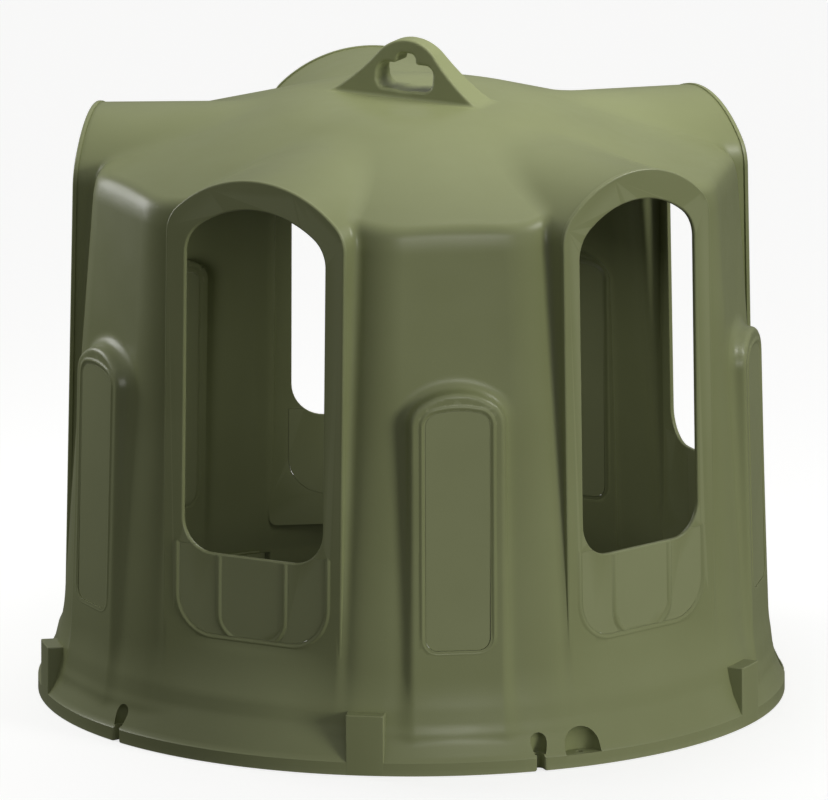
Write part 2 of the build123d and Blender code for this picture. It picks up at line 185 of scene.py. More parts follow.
def polygon_field(r, z, points):
    """Signed distance to a closed polygon in the radius-height plane, negative inside."""
    best = np.full(r.shape, np.inf)
    inside = np.zeros(r.shape, bool)
    for (ar, az), (br, bz) in zip(points, points[1:] + points[:1]):
        er, ez = br - ar, bz - az
        share = np.clip(((r - ar) * er + (z - az) * ez) / (er * er + ez * ez), 0, 1)
        best = np.minimum(best, np.hypot(r - ar - share * er, z - az - share * ez))
        if ez:
            crosses = (z < az) != (z < bz)
            inside ^= crosses & (r < ar + (z - az) / ez * er)
    return np.where(inside, -best, best)


def shell_field(x, y, z):
    """Approximate distance to the outer face of the plain shell, without its openings and beads."""
    rho = np.hypot(x, y)
    angle = np.arctan2(x, -y)
    angle = np.abs(angle - BAY_ANGLE * np.round(angle / BAY_ANGLE))
    u, t = rho * np.cos(angle), rho * np.sin(angle)
    column_u, column_t = rho * np.cos(HALF_BAY - angle), rho * np.abs(np.sin(HALF_BAY - angle))

    drop = FACET_REF_Z - z
    bay = (u - BAY_DIST - drop * BAY_SLOPE) / math.hypot(1, BAY_SLOPE)
    column = (column_u - COLUMN_DIST - drop * COLUMN_SLOPE) / math.hypot(1, COLUMN_SLOPE)
    facets = soft_max(bay, column, FACET_BLEND)
    drum = (rho - ROUND_LOW_R + (z - ROUND_LOW_Z) * ROUND_SLOPE) / math.hypot(1, ROUND_SLOPE)
    wall = soft_max(facets, drum, ROUND_BLEND) + SHOULDER_BEND * np.clip(z - SHOULDER_LOW_Z, 0, None) ** 2
    roof = (z - ROOF_PEAK_Z + ROOF_SLOPE * rho) / math.hypot(1, ROOF_SLOPE)
    roof = soft_max(roof, z - CROWN_Z, CROWN_BLEND)
    body = soft_max(wall, roof, SHOULDER_BLEND)

    face = (u - FACE_R + HOOD_SINK + FACE_SLOPE * z) / math.hypot(1, FACE_SLOPE)
    lift = np.where(z > HOOD_SPRING_Z, HOOD_RISE * (FACE_R - FACE_SLOPE * z - u), 0)
    hood = arch_field(t, z - lift, HOOD_HALF_W, HOOD_SPRING_Z, HOOD_APEX_Z, HOOD_CORNER_R)
    dormer = round_max(hood, face, HOOD_EDGE_R)
    high_share = np.clip((z - HOOD_BLEND_LOW_Z) / (HOOD_BLEND_HIGH_Z - HOOD_BLEND_LOW_Z), 0, 1)
    blend = HOOD_BLEND_WALL + (HOOD_BLEND_ROOF - HOOD_BLEND_WALL) * high_share
    body = soft_min(body, dormer, blend)

    pad_face = (column_u - PAD_FACE_R + PAD_FACE_SLOPE * z) / math.hypot(1, PAD_FACE_SLOPE)
    pad = arch_field(column_t, z, PAD_HALF_W, PAD_SPRING_Z, PAD_APEX_Z, PAD_CORNER_R)
    body = soft_min(body, round_max(pad, pad_face, PAD_EDGE_R), PAD_BLEND)

    fade = np.clip((z - SKIRT_FADE_LOW_Z) / SKIRT_FADE_Z, SKIRT_FADE_LEAST, 1)
    return soft_min(body, polygon_field(rho, z, SKIRT_POINTS), SKIRT_BLEND * fade)


# ---------------------------------------------------------------------------------------------
# Shell surface: rays from a point on the axis meet the field once
# ---------------------------------------------------------------------------------------------
def stepped(stops):
    """Values from stop to stop, each stretch (end, step) divided evenly into steps near its size."""
    values = [stops[0][0]]
    for end, step in stops[1:]:
        count = max(1, round(abs(end - values[-1]) / step))
        start = values[-1]
        values += [start + (end - start) * (i + 1) / count for i in range(count)]
    return values


def column_angles():
    """Angles from a window's middle to the next column's middle."""
    return np.radians(stepped(COLUMN_STOPS))


def row_elevations():
    """Elevations of the rays, from the crown down to the ground."""
    high = stepped(ROOF_STOPS)
    wall = [math.degrees(math.atan2(z - RAY_CENTRE_Z, WALL_R)) for z in stepped(WALL_STOPS) if z < WALL_TOP_Z]
    flare_low_z = LIP_Z + LIP_STEP
    flare = stepped([(FLARE_TOP_Z, 0), (flare_low_z, FLARE_STEP)])
    edge = [(BASE_R - LIP_STEP, flare_low_z), (BASE_R, LIP_Z), (BASE_R, LIP_Z / 2), (BASE_R, 0)]
    low = [(FLARE_R - (z - flare_low_z) * FLARE_SLOPE, z) for z in flare[:-1]] + edge
    low = [math.degrees(math.atan2(z - RAY_CENTRE_Z, r)) for r, z in low]
    between = [e for e in wall if low[0] + ROW_CLEARANCE < e < high[-1] - ROW_CLEARANCE]
    return np.radians(high + between + low)


def cast(level, angles, elevations):
    """Distances along the rays from the axis point to the field's surface at a level."""
    a, e = np.meshgrid(angles, elevations)
    dx, dy, dz = np.cos(e) * np.sin(a), -np.cos(e) * np.cos(a), np.sin(e)
    s = np.full(a.shape, RAY_START)
    for _ in range(RAY_ROUNDS):
        s = s - RAY_STEP * (shell_field(s * dx, s * dy, RAY_CENTRE_Z + s * dz) - level)
    return s


def skin(level):
    """Points of the whole surface at a level, as rows by columns, and its crown point."""
    half = column_angles()
    elevations = row_elevations()
    s_half = cast(level, half, elevations)
    s = np.concatenate([s_half, s_half[:, -2:0:-1]], axis=1)
    bay = np.concatenate([half, 2 * HALF_BAY - half[-2:0:-1]])
    angles = np.concatenate([bay + BAY_ANGLE * i for i in range(BAYS)])
    s = np.tile(s, (1, BAYS))
    out = s * np.cos(elevations[:, None])
    up = s * np.sin(elevations[:, None])
    points = np.stack([out * np.sin(angles), -out * np.cos(angles), RAY_CENTRE_Z + up], -1)
    crown = cast(level, np.array([0.0]), np.array([math.pi / 2]))[0, 0]
    return points, np.array([0.0, 0.0, RAY_CENTRE_Z + crown])


def shell_mesh():
    """Closed mesh of the plain shell: outer skin, inner skin and the ring that joins them on the ground."""
    outer, outer_crown = skin(0.0)
    inner, inner_crown = skin(-WALL)
    outer[-1, :, 2] = 0.0
    inner[-1, :, 2] = 0.0
    rows, columns = outer.shape[:2]
    skins = [outer.reshape(-1, 3), outer_crown[None], inner.reshape(-1, 3), inner_crown[None]]
    index = np.arange(rows * columns).reshape(rows, columns)
    nxt = np.roll(index, -1, axis=1)
    quads = np.stack([index[:-1], index[1:], nxt[1:], nxt[:-1]], -1).reshape(-1, 4)
    caps = np.stack([np.full(columns, rows * columns), index[0], nxt[0]], -1)
    shift = rows * columns + 1
    ring = np.stack([index[-1], index[-1] + shift, nxt[-1] + shift, nxt[-1]], -1)
    parts = [quads, caps, quads[:, ::-1] + shift, caps[:, ::-1] + shift, ring]
    faces = [face for part in parts for face in part.tolist()]
    mesh = bpy.data.meshes.new("shell_skin")
    mesh.from_pydata(np.concatenate(skins).tolist(), [], faces)
    mesh.validate()
    return mesh


def add_object(name, mesh):
    """New object at the frame's origin."""
    piece = bpy.data.objects.new(name, mesh)
    bpy.context.scene.collection.objects.link(piece)
    return piece


# ---------------------------------------------------------------------------------------------
# Small closed solids, built facing -Y and turned to their bay. A solid is (points, faces)
# ---------------------------------------------------------------------------------------------
def arc(centre_t, centre_v, r, start, end, steps):
    """Points of an arc between two angles, in degrees."""
    angles = np.radians(np.linspace(start, end, steps + 1))
    return [(centre_t + r * math.cos(a), centre_v + r * math.sin(a)) for a in angles]


def mirrored_loop(right):
    """Closed loop from its right half, which runs from the lowest point up to the middle of the crown."""
    left = [(-t, v) for t, v in reversed(right) if abs(t) > 1e-9]
    return right + left


def arch_loop(shape, grow=0.0):
    """Outline of an arch with rounded lower corners, moved outwards by grow."""
    half, low, apex = shape["half"] + grow, shape["low"] - grow, shape["apex"] + grow
    corner, low_r, spring = shape["corner"] + grow, shape["low_r"] + grow, shape["spring"]
    rise = apex - spring
    crown_r = (half**2 + rise**2 - 2 * half * corner) / (2 * (rise - corner))
    lean = math.degrees(math.atan2(half - corner, spring - apex + crown_r))
    right = arc(half - low_r, low + low_r, low_r, -90, 0, steps=10)
    right += arc(half - corner, spring, corner, 0, 90 - lean, steps=12)
    right += arc(0, apex - crown_r, crown_r, 90 - lean, 90, steps=16)[1:]
    return mirrored_loop(right)


def bib_path(half, low, top, corner, grow=0.0):
    """Open U from its upper left end down and round to its upper right end, moved outwards by grow."""
    right = arc(half - corner, low + corner, corner + grow, -90, 0, steps=12) + [(half + grow, top)]
    return [(-t, v) for t, v in reversed(right)] + right


def closed_solid(loops, hoop=False):
    """Solid through loops of equal length; a hoop closes on its first loop, others are capped."""
    size = len(loops[0])
    points = np.array([point for loop in loops for point in loop], float)
    faces = []
    pairs = list(zip(range(len(loops)), range(1, len(loops))))
    if hoop:
        pairs.append((len(loops) - 1, 0))
    for a, b in pairs:
        faces += [(a * size + i, a * size + (i + 1) % size, b * size + (i + 1) % size, b * size + i)
                  for i in range(size)]
    if not hoop:
        faces += [tuple(range(size)), tuple(range((len(loops) - 1) * size, len(loops) * size))]
    return points, faces


def on_face(solid, face_r, slope):
    """Stands a solid given as (t, v, n) on a drafted face: t along it, v up it, n out of it."""
    tilt = math.atan(slope)
    t, v, n = solid[0].T
    out = face_r + n * math.cos(tilt) - v * math.sin(tilt)
    return np.stack([t, -out, v * math.cos(tilt) + n * math.sin(tilt)], -1), solid[1]


def turned(solid, angle):
    """Solid turned about the axis by an angle in degrees."""
    a = math.radians(angle)
    x, y, z = solid[0].T
    return np.stack([x * math.cos(a) - y * math.sin(a), x * math.sin(a) + y * math.cos(a), z], -1), solid[1]


def joined(solids):
    """Several solids as one."""
    points, faces, start = [], [], 0
    for solid_points, solid_faces in solids:
        points.append(solid_points)
        faces += [tuple(i + start for i in face) for face in solid_faces]
        start += len(solid_points)
    return np.concatenate(points), faces


def every_bay(solid, first_angle=0.0):
    """Copies of a solid in all five bays."""
    return joined([turned(solid, first_angle + BAY_TURN_DEG * i) for i in range(BAYS)])


def solid_object(name, solid):
    """Object with a solid's mesh, its faces turned outwards."""
    mesh = bpy.data.meshes.new(name)
    mesh.from_pydata(solid[0].tolist(), [], solid[1])
    form = bmesh.new()
    form.from_mesh(mesh)
    bmesh.ops.remove_doubles(form, verts=form.verts, dist=1e-6)
    bmesh.ops.recalc_face_normals(form, faces=form.faces)
    form.to_mesh(mesh)
    form.free()
    return add_object(name, mesh)


def carve(target, steps):
    """Applies booleans, each (operation, solid), to a target object."""
    tools = []
    for operation, solid in steps:
        tool = solid_object("tool", solid)
        modifier = target.modifiers.new("carve", "BOOLEAN")
        modifier.operation = operation
        modifier.solver = "MANIFOLD"
        modifier.object = tool
        tools.append(tool)
    depsgraph = bpy.context.evaluated_depsgraph_get()
    mesh = bpy.data.meshes.new_from_object(target.evaluated_get(depsgraph))
    target.modifiers.clear()
    target.data = mesh
    for tool in tools:
        bpy.data.objects.remove(tool, do_unlink=True)


def smooth(piece, angle=32.0):
    """Smooth shading, sharp past an angle in degrees, where points on a flat face keep its normal."""
    mesh = piece.data
    mesh.polygons.foreach_set("use_smooth", [True] * len(mesh.polygons))
    mesh.set_sharp_from_angle(angle=math.radians(angle))
    count = len(mesh.polygons)
    normals, centres, areas = np.zeros(count * 3), np.zeros(count * 3), np.zeros(count)
    sizes = np.zeros(count, int)
    mesh.polygons.foreach_get("normal", normals)
    mesh.polygons.foreach_get("center", centres)
    mesh.polygons.foreach_get("area", areas)
    mesh.polygons.foreach_get("loop_total", sizes)
    normals, centres = normals.reshape(-1, 3), centres.reshape(-1, 3)
    planes = np.column_stack([normals, (normals * centres).sum(1)])
    _, group = np.unique(np.round(planes * FLAT_KEY).astype(int), axis=0, return_inverse=True)
    group_area = np.bincount(group.ravel(), areas)[group.ravel()]
    flat = group_area > FLAT_AREA

    corner_face = np.repeat(np.arange(count), sizes)
    corner_point = np.zeros(len(mesh.loops), int)
    mesh.loops.foreach_get("vertex_index", corner_point)
    best_area = np.zeros(len(mesh.vertices))
    best_normal = np.zeros((len(mesh.vertices), 3))
    on_flat = flat[corner_face]
    order = np.argsort(group_area[corner_face[on_flat]], kind="stable")
    points, faces = corner_point[on_flat][order], corner_face[on_flat][order]
    best_area[points] = group_area[faces]
    best_normal[points] = normals[faces]

    corners = np.zeros(len(mesh.loops) * 3)
    mesh.corner_normals.foreach_get("vector", corners)
    corners = corners.reshape(-1, 3)
    near = (best_normal[corner_point] * normals[corner_face]).sum(1) > math.cos(math.radians(angle))
    take = (best_area[corner_point] > 0) & near
    corners[take] = best_normal[corner_point][take]
    corners[on_flat] = normals[corner_face][on_flat]
    mesh.normals_split_custom_set(corners.tolist())


# ---------------------------------------------------------------------------------------------
# Cutters and added forms
# ---------------------------------------------------------------------------------------------
def lifted(loop, n):
    """Loop of a face at a height of n out of it."""
    return [(t, v, n) for t, v in loop]


def rounded_steps(r, count=5):
    """Offsets and depths of a quarter round of radius r, from the face inwards."""
    angles = np.linspace(0, math.pi / 2, count + 1)
    return [(r * (1 - math.sin(a)), -r * (1 - math.cos(a))) for a in angles]


def slab(loop, low_n=-CUT_DEPTH, high_n=CUT_DEPTH):
    """Straight prism of a loop between two depths."""
    return closed_solid([lifted(loop, low_n), lifted(loop, high_n)])


def bib_loop(shift, top=BIB_TOP_Z):
    """Outer outline of the three sill panels."""
    return bib_path(BIB_HALF_W, BIB_LOW_Z, top, BIB_CORNER_R, shift)


def middle_loop(shift):
    """Outline of the middle sill panel."""
    return bib_path(MIDDLE_HALF_W, BIB_LOW_Z, BIB_TOP_Z, MIDDLE_CORNER_R, shift)


def panel_loop(shift):
    """Outline of a side panel."""
    return arch_loop(SIDE_PANEL, shift)


def on_bay(solid):
    """Stands a solid on the first window bay's face."""
    return on_face(solid, FACE_R, FACE_SLOPE)


def on_pad(solid):
    """Stands a solid on the first column pad's face."""
    return turned(on_face(solid, PAD_FACE_R, PAD_FACE_SLOPE), PAD_TURN_DEG)


def window_cutter():
    """Window prism that flares at both faces, so that its rim is left rounded."""
    front = [(WINDOW_EDGE_R, CUT_DEPTH)] + rounded_steps(WINDOW_EDGE_R)
    behind = [(grow, -BAY_WALL - n) for grow, n in reversed(rounded_steps(WINDOW_BACK_R))]
    levels = front + behind + [(WINDOW_BACK_R, -CUT_DEPTH)]
    return on_bay(closed_solid([lifted(arch_loop(WINDOW, grow), n) for grow, n in levels]))


def bead_loops(path_of, sink, count=9):
    """Loops of a raised-cosine bead along an outline, with its root sunk into the wall."""
    offsets = np.linspace(-BEAD_HALF_W, BEAD_HALF_W, count)
    heights = BEAD_H * np.cos(math.pi * offsets / (2 * BEAD_HALF_W)) ** 2
    loops = [lifted(path_of(offset), height - sink) for offset, height in zip(offsets, heights)]
    root = -WALL / 2 - sink
    return [lifted(path_of(-BEAD_HALF_W), root)] + loops + [lifted(path_of(BEAD_HALF_W), root)]


def closed_bead(path_of, sink=0.0):
    """Bead along a closed outline."""
    return closed_solid(bead_loops(path_of, sink), hoop=True)


def open_bead(path_of, sink=0.0):
    """Bead along an open path, both ends of which run up the face and fade into it."""
    sections = [list(section) for section in zip(*bead_loops(path_of, sink))]
    first = [(t, v + BEAD_END, n - BEAD_H) for t, v, n in sections[0]]
    last = [(t, v + BEAD_END, n - BEAD_H) for t, v, n in sections[-1]]
    return closed_solid([first] + sections + [last])


def rim_edge(count=5):
    """Offsets inwards from the rim and depths of its rounded front edge, from the face to the side."""
    angles = np.linspace(0, math.pi / 2, count + 1)
    return RIM_EDGE_R * np.sin(angles), -RIM_EDGE_R * (1 - np.cos(angles))


def rim_slab():
    """Face plate of a window bay, a little larger than its hood, so that a fine step runs behind the arch."""
    edge = [(-RIM_EDGE_R + grow, n) for grow, n in zip(*rim_edge())]
    loops = [lifted(arch_loop(RIM, grow), n) for grow, n in edge + [(0, -RIM_DEPTH)]]
    return on_bay(closed_solid(loops))


def circle_loop(centre_r, r, count=48):
    """Points of a level circle on the -Y side."""
    turn = np.linspace(0, 2 * math.pi, count, endpoint=False)
    return [(r * math.cos(a), -centre_r + r * math.sin(a)) for a in turn]


def post(centre_r, r, low, high):
    """Upright round post on the -Y side."""
    loop = circle_loop(centre_r, r)
    return closed_solid([lifted(loop, low), lifted(loop, high)])


def domed_pocket(centre_r, r, low, high, count=10):
    """Round pocket with a domed top on the -Y side."""
    loops = [lifted(circle_loop(centre_r, r), low)]
    for turn in np.linspace(0, math.pi / 2, count, endpoint=False):
        loops.append(lifted(circle_loop(centre_r, r * math.cos(turn)), high - r + r * math.sin(turn)))
    return closed_solid(loops)


def flare_radius(z):
    """Radius of the skirt's outer face."""
    points = SKIRT_POINTS[2:-1]
    return np.interp(z, [p[1] for p in points], [p[0] for p in points])


def sleeve(centre_r, r, low, high, count=12):
    """Post behind the skirt that closes the wall around a pocket, kept just inside the skirt's face."""
    loops = []
    for z in np.linspace(low, high, count):
        reach = flare_radius(z) - WALL / 2
        ring = [(x, y, min(1, reach / math.hypot(x, y))) for x, y in circle_loop(centre_r, r)]
        loops.append([(x * share, y * share, z) for x, y, share in ring])
    return closed_solid(loops)


def slot_loop(half):
    """Plan of an anchor slot: a round back, straight sides and rounded corners at the lip."""
    back = arc(0, -SLOT_INNER_R - half, half, 0, 180, steps=12)
    left = arc(-half - SLOT_EDGE_R, -BASE_R + SLOT_EDGE_R, SLOT_EDGE_R, 0, -90, steps=4)
    right = arc(half + SLOT_EDGE_R, -BASE_R + SLOT_EDGE_R, SLOT_EDGE_R, -90, -180, steps=4)
    outside = [(-half - SLOT_EDGE_R, -BASE_R - WALL), (half + SLOT_EDGE_R, -BASE_R - WALL)]
    return back + left + outside + right


def slot_cutter():
    """Narrow slot through the lip, flared at the ground."""
    half = SLOT_W / 2
    levels = [(-WALL, half + SLOT_FOOT_FLARE), (0, half + SLOT_FOOT_FLARE), (SLOT_FOOT_FLARE, half)]
    return closed_solid([lifted(slot_loop(w), z) for z, w in levels + [(SLOT_LEDGE_Z, half)]])


def both_seats(solid):
    """Copies of a solid at both bolt seats."""
    return joined([turned(solid, angle) for angle in SEAT_ANGLES])


def place(name, piece_object, body, node, slot):
    """Names a piece and ties it to its body, the CAD node that it stands for and its material slot."""
    piece_object.name = name
    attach(piece_object, body)
    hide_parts(node)
    piece_object.data.materials.clear()
    piece_object.data.materials.append(plastics[slot])


# ---------------------------------------------------------------------------------------------
# Material: satin moulded polyethylene
# ---------------------------------------------------------------------------------------------
OLIVE = (0.218, 0.238, 0.108)
OLIVE_FADED = (0.240, 0.262, 0.124)
# Lighter olive, used for the random scuffs and for the painted highlight along convex edges
OLIVE_SCUFF_AND_EDGE_HIGHLIGHT = (0.320, 0.342, 0.190)
ROUGHNESS_LEAST, ROUGHNESS_MOST = 0.31, 0.41
GRAIN_SCALE, GRAIN_STRENGTH, GRAIN_DEPTH = 420.0, 0.35, 0.0006
WAVE_SCALE, WAVE_STRENGTH, WAVE_DEPTH = 5.0, 0.5, 0.004


def noise(tree, coordinates, scale, detail, roughness):
    """Noise node on the piece's own coordinates."""
    node = tree.nodes.new("ShaderNodeTexNoise")
    node.inputs["Scale"].default_value = scale
    node.inputs["Detail"].default_value = detail
    node.inputs["Roughness"].default_value = roughness
    tree.links.new(coordinates, node.inputs["Vector"])
    return node.outputs["Fac"]


def spread(tree, value, low, high, to_low=0.0, to_high=1.0):
    """Range of a value, stretched and clamped."""
    node = tree.nodes.new("ShaderNodeMapRange")
    node.inputs["From Min"].default_value = low
    node.inputs["From Max"].default_value = high
    node.inputs["To Min"].default_value = to_low
    node.inputs["To Max"].default_value = to_high
    tree.links.new(value, node.inputs["Value"])
    return node.outputs["Result"]


def blend_colour(tree, share, first, second):
    """Mix of two colours, each a constant or a socket."""
    node = tree.nodes.new("ShaderNodeMix")
    node.data_type = "RGBA"
    tree.links.new(share, node.inputs["Factor"])
    for colour, socket in ((first, node.inputs["A"]), (second, node.inputs["B"])):
        if isinstance(colour, tuple):
            socket.default_value = (*colour, 1.0)
        else:
            tree.links.new(colour, socket)
    return node.outputs["Result"]


def moulded_plastic(name, shift):
    """Olive polyethylene: uneven colour, light scuffs, a painted highlight along convex edges, fine mould
    grain and a slow waviness.
    """
    material = bpy.data.materials.new(name)
    material.use_nodes = True
    tree = material.node_tree
    shader = tree.nodes["Principled BSDF"]
    position = tree.nodes.new("ShaderNodeTexCoord")
    moved = tree.nodes.new("ShaderNodeMapping")
    moved.inputs["Location"].default_value = (shift, -shift, shift / 2)
    tree.links.new(position.outputs["Object"], moved.inputs["Vector"])
    at = moved.outputs["Vector"]

    clouds = noise(tree, at, scale=2.2, detail=3.0, roughness=0.55)
    faded = spread(tree, clouds, low=0.35, high=0.68)
    colour = blend_colour(tree, faded, OLIVE, OLIVE_FADED)
    specks = noise(tree, at, scale=260.0, detail=2.0, roughness=0.6)
    scuffed = spread(tree, specks, low=0.62, high=0.78, to_high=0.22)
    colour = blend_colour(tree, scuffed, colour, OLIVE_SCUFF_AND_EDGE_HIGHLIGHT)
    surface = tree.nodes.new("ShaderNodeNewGeometry")
    # Convex edges, found by pointiness, turn lighter: a painted highlight along every edge
    painted_edge_highlight = spread(tree, surface.outputs["Pointiness"], low=0.51, high=0.58, to_high=0.40)
    colour = blend_colour(tree, painted_edge_highlight, colour, OLIVE_SCUFF_AND_EDGE_HIGHLIGHT)
    tree.links.new(colour, shader.inputs["Base Color"])

    patches = noise(tree, at, scale=7.0, detail=4.0, roughness=0.6)
    satin = spread(tree, patches, low=0.3, high=0.7, to_low=ROUGHNESS_LEAST, to_high=ROUGHNESS_MOST)
    tree.links.new(satin, shader.inputs["Roughness"])
    shader.inputs["IOR"].default_value = 1.5
    shader.inputs["Specular IOR Level"].default_value = 0.42

    grain = tree.nodes.new("ShaderNodeBump")
    grain.inputs["Strength"].default_value = GRAIN_STRENGTH
    grain.inputs["Distance"].default_value = GRAIN_DEPTH
    fine = noise(tree, at, GRAIN_SCALE, detail=2.0, roughness=0.5)
    tree.links.new(fine, grain.inputs["Height"])
    waves = tree.nodes.new("ShaderNodeBump")
    waves.inputs["Strength"].default_value = WAVE_STRENGTH
    waves.inputs["Distance"].default_value = WAVE_DEPTH
    coarse = noise(tree, at, WAVE_SCALE, detail=1.0, roughness=0.4)
    tree.links.new(coarse, waves.inputs["Height"])
    tree.links.new(grain.outputs["Normal"], waves.inputs["Normal"])
    tree.links.new(waves.outputs["Normal"], shader.inputs["Normal"])
    return material


SLOTS = ("moulded_shell", "lifting_eye", "stacking_block", "cut_out_panel")
plastics = {slot: moulded_plastic(slot, 3.0 * number) for number, slot in enumerate(SLOTS)}


# ---------------------------------------------------------------------------------------------
# Shell
# ---------------------------------------------------------------------------------------------
slot_sleeve = sleeve(SLOT_POCKET_CENTRE, SLOT_POCKET_R + WALL, 0.0, SLOT_BOSS_TOP_Z)
slot_pocket = domed_pocket(SLOT_POCKET_CENTRE, SLOT_POCKET_R, SLOT_POCKET_LOW_Z, SLOT_POCKET_TOP_Z)
seat_sleeve = sleeve(SEAT_POCKET_CENTRE, SEAT_POCKET_R + WALL, LIP_Z - WALL, SEAT_BOSS_TOP_Z)
seat_pocket = domed_pocket(SEAT_POCKET_CENTRE, SEAT_POCKET_R, LIP_Z, SEAT_POCKET_TOP_Z)

shell = add_object("shell_moulding", shell_mesh())
carve(shell, [
    ("UNION", every_bay(rim_slab())),
    ("UNION", every_bay(on_bay(open_bead(bib_loop)))),
    ("UNION", every_bay(on_pad(closed_bead(panel_loop)))),
    ("DIFFERENCE", every_bay(on_pad(closed_bead(panel_loop, WALL)))),
    ("UNION", every_bay(slot_sleeve, SLOT_ANGLE)),
    ("UNION", both_seats(seat_sleeve)),
    ("DIFFERENCE", every_bay(window_cutter())),
    ("DIFFERENCE", every_bay(on_bay(slab(bib_loop(-BEAD_HALF_W))))),
    ("DIFFERENCE", every_bay(on_pad(slab(panel_loop(-BEAD_HALF_W))))),
    ("DIFFERENCE", every_bay(slot_pocket, SLOT_ANGLE)),
    ("DIFFERENCE", every_bay(slot_cutter(), SLOT_ANGLE)),
    ("DIFFERENCE", both_seats(seat_pocket)),
    ("DIFFERENCE", both_seats(post(SEAT_HOLE_CENTRE, SEAT_HOLE_R, -WALL, LIP_Z + WALL))),
])
smooth(shell)
place("shell_moulding", shell, "feeder", "shell", "moulded_shell")


# ---------------------------------------------------------------------------------------------
# Cut-out panels: made once on the first bay and turned to the others
# ---------------------------------------------------------------------------------------------
def turned_copy(source, angle):
    """New object with a source's mesh turned about the axis."""
    mesh = source.data.copy()
    mesh.transform(Matrix.Rotation(math.radians(angle), 4, "Z"))
    return add_object("piece", mesh)


def half_space(side):
    """Large box on one side of the first bay's middle: -1 for the left and 1 for the right."""
    return slab([(0, 0), (side, 0), (side, 1), (0, 1)])


def sill_panel(steps):
    """Plate of the three sill panels with its middle bead, cut by the window and then to one panel."""
    outline = bib_loop(-BEAD_HALF_W - GAP, BIB_TOP_Z - GAP)
    plate = solid_object("plate", on_bay(slab(outline, -BAY_WALL, 0.0)))
    carve(plate, [
        ("UNION", on_bay(open_bead(middle_loop))),
        ("INTERSECT", on_bay(slab(outline))),
        ("DIFFERENCE", window_cutter()),
    ] + [(operation, on_bay(solid)) for operation, solid in steps])
    return plate


def side_panel():
    """Flat plate whose front edge is rounded in three steps."""
    side = -BEAD_HALF_W - GAP
    round_steps = ((1, 0), (0.3, 0.3), (0, 1))
    front = [(side - PANEL_EDGE_R * inset, -PANEL_EDGE_R * drop) for inset, drop in round_steps]
    loops = [lifted(panel_loop(grow), n) for grow, n in front + [(side, -WALL)]]
    return solid_object("plate", on_pad(closed_solid(loops)))


middle_region = slab(middle_loop(BEAD_HALF_W))
around_middle = slab(middle_loop(BEAD_HALF_W + GAP))
panel_sources = {
    "side_panel": side_panel(),
    "sill_panel_left": sill_panel([("DIFFERENCE", around_middle), ("INTERSECT", half_space(-1))]),
    "sill_panel_middle": sill_panel([("INTERSECT", middle_region)]),
    "sill_panel_right": sill_panel([("DIFFERENCE", around_middle), ("INTERSECT", half_space(1))]),
}
for kind, source in panel_sources.items():
    for bay in range(BAYS):
        panel = turned_copy(source, BAY_TURN_DEG * bay)
        node = f"{kind}_{bay + 1}"
        smooth(panel)
        place(f"{node}_plate", panel, node, node, "cut_out_panel")
    bpy.data.objects.remove(source, do_unlink=True)


# ---------------------------------------------------------------------------------------------
# Stacking blocks: wedges that stand on the flare and run flush into the lip
# ---------------------------------------------------------------------------------------------
def block_solid(count=9):
    """Wedge on the -Y side whose back lies inside the skirt's wall."""
    loops = []
    heights = [z for r, z in SKIRT_POINTS[3:6] if z < BLOCK_TOP_Z] + [BLOCK_TOP_Z]
    for t in np.linspace(-BLOCK_HALF_W, BLOCK_HALF_W, count):
        outer = math.sqrt((BASE_R + BLOCK_PROUD) ** 2 - t**2)
        back = [(math.sqrt((flare_radius(z) - BLOCK_SINK) ** 2 - t**2), z) for z in heights]
        profile = [(outer, 0.0), (outer, BLOCK_TOP_Z)] + back[::-1] + [(back[0][0], 0.0)]
        loops.append([(t, -r, z) for r, z in profile])
    return closed_solid(loops)


for number in range(BAYS):
    block = solid_object("block", turned(block_solid(), BLOCK_ANGLE + BAY_TURN_DEG * number))
    edges = block.modifiers.new("edges", "BEVEL")
    edges.width = BLOCK_EDGE_R
    edges.segments = 3
    edges.limit_method = "ANGLE"
    edges.angle_limit = math.radians(30)
    smooth(block, angle=40)
    node = f"stacking_block_{number + 1}"
    place(f"{node}_wedge", block, "feeder", node, "stacking_block")


# ---------------------------------------------------------------------------------------------
# Lifting eye: a field meshed on a grid, so that the fin flows into the roof
# ---------------------------------------------------------------------------------------------
def rounded_box(x, z, half_w, low, high, r):
    """Distance to a rectangle with rounded corners, negative inside."""
    across = np.abs(x) - half_w + r
    up = np.abs(z - (low + high) / 2) - (high - low) / 2 + r
    beyond = np.hypot(np.clip(across, 0, None), np.clip(up, 0, None))
    return np.minimum(np.maximum(across, up), 0) + beyond - r


def fin_field(x, y, z):
    """Fin without its hole: a round cap on straight flanks that turn out into long feet."""
    centre_z = EYE_TOP_Z - EYE_CAP_R
    turn, foot = math.radians(EYE_CAP_TURN_DEG), math.radians(EYE_FOOT_SLOPE_DEG)
    flank = math.sin(turn) * np.abs(x) + math.cos(turn) * (z - centre_z) - EYE_CAP_R
    cap = np.hypot(x, z - centre_z) - EYE_CAP_R
    outline = np.where(np.arctan2(np.abs(x), z - centre_z) < turn, cap, flank)
    feet = math.sin(foot) * (np.abs(x) - EYE_FOOT_X) + math.cos(foot) * (z - EYE_FOOT_Z)
    outline = soft_min(outline, feet, EYE_FOOT_BLEND)
    sides = (np.abs(y) - EYE_TOP_HALF_T - EYE_DRAFT * (EYE_TOP_Z - z)) / math.hypot(1, EYE_DRAFT)
    return round_max(outline, sides, EYE_EDGE_R)


